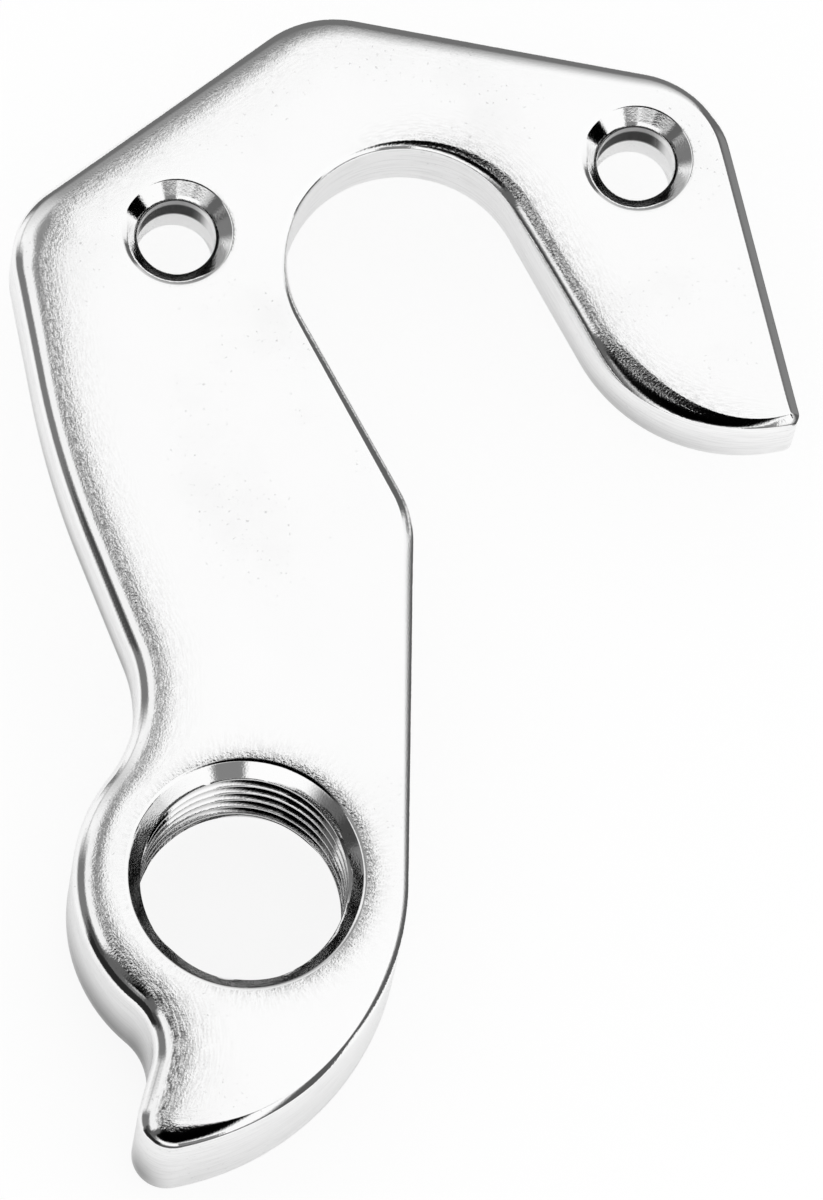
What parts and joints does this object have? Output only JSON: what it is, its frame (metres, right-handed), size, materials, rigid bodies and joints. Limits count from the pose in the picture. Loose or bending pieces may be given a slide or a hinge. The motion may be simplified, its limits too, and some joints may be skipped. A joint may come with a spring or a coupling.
{
  "type": "bicycle derailleur hanger",
  "caption": "Hook-shaped aluminium plate that carries a bicycle's rear derailleur: threaded boss with a stop tab, countersunk screw holes and an open slot for the wheel axle.",
  "frame": {"origin": "on the axis of the threaded derailleur hole, level with the plate's back face that bears on the frame", "axes": "+Z out of the outer face, where the derailleur is screwed on; +Y from the boss towards the hook; +X towards the mouth of the axle slot"},
  "size_m": [0.0341, 0.0515, 0.007],
  "materials": {
    "polished_aluminium": "polished, fine satin grain on the outer face"
  },
  "bodies": {
    "root": {"hanger": "polished_aluminium"}
  },
  "joints": []
}
